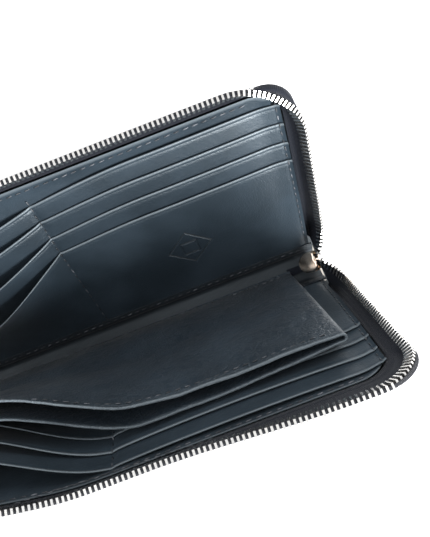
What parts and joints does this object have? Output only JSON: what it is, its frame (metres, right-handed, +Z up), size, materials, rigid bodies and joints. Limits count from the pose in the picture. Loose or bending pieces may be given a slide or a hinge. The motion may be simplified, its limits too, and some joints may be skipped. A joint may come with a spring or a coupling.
{
  "type": "long wallet",
  "caption": "Zip-around long leather wallet standing open on its spine, with stepped card slots on both panels and a middle pouch.",
  "frame": {"origin": "middle of the underside of the spine, where the open wallet stands", "axes": "+X along the spine towards the slider's end, +Y towards the front panel, +Z up between the open panels"},
  "size_m": [0.193, 0.115, 0.0871],
  "materials": {
    "cover_leather": "smooth black calf leather with fine grain",
    "lining_leather": "smooth blue-black leather, creased edges",
    "pouch_leather": "soft pebbled blue-black leather",
    "stiffener": "grey board",
    "foil": "satin foil",
    "zip_tape": "herringbone woven tape",
    "zip_metal": "polished nickel",
    "thread": "waxed thread"
  },
  "bodies": {
    "spine": {"spine_cover": "cover_leather", "spine_board": "stiffener", "spine_lining": "lining_leather", "zip_tail_tape": "zip_tape", "zip_end_stop": "zip_metal"},
    "front_panel": {"front_cover": "cover_leather", "front_board": "stiffener", "front_shield_foil": "foil", "front_lining": "lining_leather", "front_card_layer_1": "lining_leather", "front_card_layer_2": "lining_leather", "front_card_layer_3": "lining_leather", "front_card_layer_4": "lining_leather", "front_zip_tape": "zip_tape", "front_zip_teeth": "zip_metal", "front_edge_stitches": "thread", "front_divider_stitches": "thread"},
    "back_panel": {"back_cover": "cover_leather", "back_board": "stiffener", "back_shield_foil": "foil", "back_lining": "lining_leather", "back_card_layer_1": "lining_leather", "back_card_layer_2": "lining_leather", "back_card_layer_3": "lining_leather", "back_card_layer_4": "lining_leather", "back_zip_tape": "zip_tape", "back_zip_teeth": "zip_metal", "back_edge_stitches": "thread", "back_divider_stitches": "thread"},
    "pouch": {"pouch_front_wall": "pouch_leather", "pouch_back_wall": "pouch_leather", "pouch_right_fold": "pouch_leather", "pouch_left_fold": "pouch_leather", "pouch_seam": "pouch_leather"},
    "slider": {"slider_body": "zip_metal", "slider_bridge": "zip_metal"},
    "pull": {"pull_pin": "zip_metal", "pull_tab": "zip_metal"}
  },
  "joints": [
    {"name": "front_fold", "type": "hinge", "parent": "spine", "child": "front_panel", "pos_m": [0, 0.01, 0], "axis": [1, 0, 0], "range_deg": [-60, 30]},
    {"name": "back_fold", "type": "hinge", "parent": "spine", "child": "back_panel", "pos_m": [0, -0.01, 0], "axis": [-1, 0, 0], "range_deg": [-45, 30]},
    {"name": "pouch_swing", "type": "hinge", "parent": "spine", "child": "pouch", "pos_m": [0, 0, 0.0036], "axis": [-1, 0, 0], "range_deg": [-40.5, 27]},
    {"name": "slider_travel", "type": "slide", "parent": "spine", "child": "slider", "axis": [0.6428, 0, 0.766], "range_m": [0, 0.008]},
    {"name": "pull_swing", "type": "hinge", "parent": "slider", "child": "pull", "pos_m": [0.09291, 0, 0.00948], "axis": [0, -1, 0], "range_deg": [0, 130]}
  ],
  "couplings": [
    {"joint": "pouch_swing", "follows": "back_fold", "ratio": 0.9}
  ]
}
